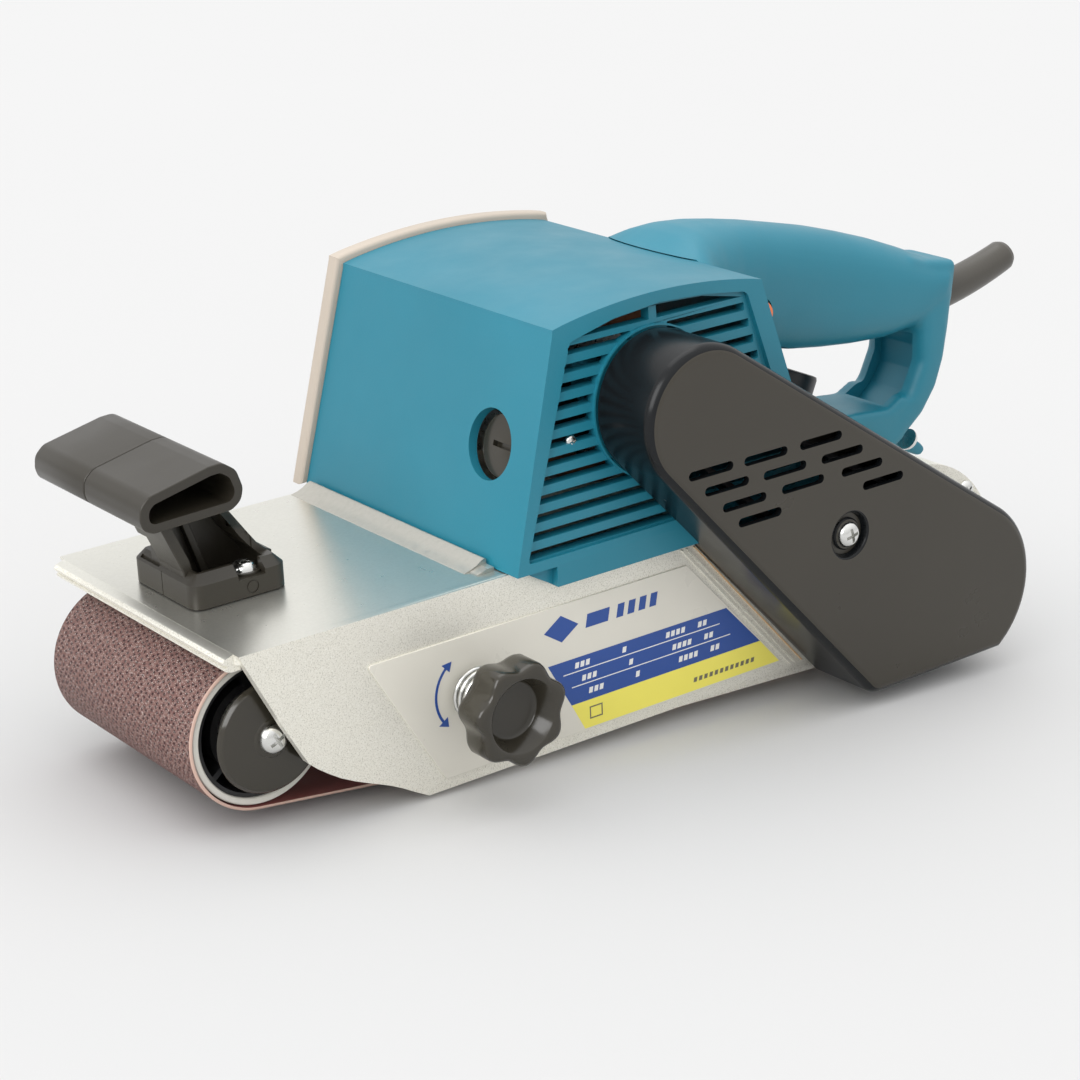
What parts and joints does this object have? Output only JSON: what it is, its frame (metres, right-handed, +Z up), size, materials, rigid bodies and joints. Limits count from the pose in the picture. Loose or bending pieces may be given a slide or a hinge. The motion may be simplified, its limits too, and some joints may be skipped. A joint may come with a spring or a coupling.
{
  "type": "handheld belt sander",
  "caption": "Handheld electric belt sander with a rear handle, front grip, side-mounted belt drive cover, tracking knob, release lever and sprung front roller.",
  "frame": {"origin": "middle of the bounding box's bottom face, in the sole's plane", "axes": "+X back from the front roller to the cord guard, +Y from the drive-belt cover to the open side, +Z up from the sole"},
  "size_m": [0.3366, 0.1332, 0.1375],
  "materials": {
    "cast_aluminium": "die cast, fine speckle, satin",
    "blue_plastic": "moulded nylon, fine texture",
    "beige_plastic": "moulded, satin",
    "black_plastic": "moulded, semi-gloss",
    "grey_plastic": "moulded, matt",
    "grey_rubber": "moulded rubber",
    "abrasive": "abrasive grain on cloth",
    "ivory": "satin",
    "steel": "bright zinc plate",
    "copper": "copper",
    "carbon": "pressed carbon",
    "cork": "pressed cork",
    "plate_silver": "printed foil",
    "orange_plastic": "moulded",
    "black_rubber": "moulded rubber"
  },
  "bodies": {
    "machine": {"base_casting": "cast_aluminium", "nameplate": "plate_silver", "sole_plate": "steel", "cork_pad": "cork", "sanding_belt": "abrasive", "motor_housing": "blue_plastic", "end_cap": "beige_plastic", "stator_core": "steel", "field_coil": "copper", "motor_bearing_near": "steel", "motor_bearing_far": "steel", "carbon_brush_front": "carbon", "carbon_brush_rear": "carbon", "brush_holder_front": "black_plastic", "brush_holder_rear": "black_plastic", "brush_cap_front": "black_plastic", "brush_cap_rear": "black_plastic", "belt_cover": "black_plastic", "cover_screw": "steel", "handle_near": "blue_plastic", "handle_far": "blue_plastic", "cord_guard": "grey_rubber", "dust_spout": "black_plastic", "handle_foot_screw": "steel", "guard_screw": "steel", "front_grip": "grey_plastic", "grip_end_sleeve": "grey_plastic", "grip_screw_near": "steel", "grip_screw_far": "steel", "drive_bearing": "steel", "switch_body": "black_plastic", "toothed_belt": "black_rubber", "tension_spring": "steel"},
    "armature": {"motor_shaft": "steel", "armature_core": "steel", "commutator": "copper", "motor_fan": "black_plastic", "motor_pulley": "steel"},
    "drive_roller": {"drive_tyre": "black_rubber", "drive_drum": "cast_aluminium", "drive_shaft": "steel", "drum_nut": "steel", "drive_pulley": "steel"},
    "tension": {"tension_slide": "steel", "pivot_pin": "steel"},
    "yoke": {"roller_fork": "cast_aluminium", "front_axle": "steel", "roller_cap_near": "black_plastic", "roller_cap_far": "black_plastic", "roller_screw_near": "steel", "roller_screw_far": "steel"},
    "front_roller": {"front_roller_tube": "ivory", "front_roller_core": "black_plastic", "front_bearing_near": "steel", "front_bearing_far": "steel"},
    "knob": {"tracking_knob": "black_plastic", "tracking_stud": "steel"},
    "lever": {"release_lever": "black_plastic"},
    "trigger_body": {"trigger": "black_plastic"},
    "button": {"lock_button": "orange_plastic"}
  },
  "joints": [
    {"name": "armature_spin", "type": "hinge", "parent": "machine", "child": "armature", "pos_m": [-0.02293, 0.00795, 0.09744], "axis": [0, 1, 0], "continuous": true},
    {"name": "drive_roller_spin", "type": "hinge", "parent": "machine", "child": "drive_roller", "pos_m": [0.08147, 0.00795, 0.02928], "axis": [0, 1, 0], "continuous": true},
    {"name": "tension_travel", "type": "slide", "parent": "machine", "child": "tension", "axis": [0.9985, 0, 0.055], "range_m": [0, 0.008], "stiffness_N_per_m": 3000, "springref_m": -0.006, "deforming": ["tension_spring"]},
    {"name": "release_lever_turn", "type": "hinge", "parent": "machine", "child": "lever", "pos_m": [-0.07239, 0.00795, 0.03163], "axis": [0, 1, 0], "range_deg": [0, 75]},
    {"name": "yoke_tilt", "type": "hinge", "parent": "tension", "child": "yoke", "pos_m": [-0.10085, 0.00795, 0.03006], "axis": [-0.055, 0, 0.9985], "range_deg": [-0.25, 0.25]},
    {"name": "front_roller_spin", "type": "hinge", "parent": "yoke", "child": "front_roller", "pos_m": [-0.14628, 0.00795, 0.02756], "axis": [0, 1, 0], "continuous": true},
    {"name": "tracking_knob_turn", "type": "hinge", "parent": "machine", "child": "knob", "pos_m": [-0.08698, 0.00795, 0.02922], "axis": [0, 1, 0], "range_deg": [-90, 90]},
    {"name": "trigger_pull", "type": "hinge", "parent": "machine", "child": "trigger_body", "pos_m": [0.04014, 0.00795, 0.09791], "axis": [0, -1, 0], "range_deg": [0, 8], "stiffness_Nm_per_rad": 0.4, "springref_deg": -8.59},
    {"name": "lock_button_press", "type": "slide", "parent": "machine", "child": "button", "axis": [0, 1, 0], "range_m": [0, 0.0025], "stiffness_N_per_m": 400, "springref_m": -0.003}
  ],
  "couplings": [
    {"joint": "drive_roller_spin", "follows": "armature_spin", "ratio": 0.41667},
    {"joint": "front_roller_spin", "follows": "armature_spin", "ratio": 0.53654},
    {"joint": "release_lever_turn", "follows": "tension_travel", "rad_per_m": 163},
    {"joint": "yoke_tilt", "follows": "tracking_knob_turn", "ratio": 0.002777}
  ]
}
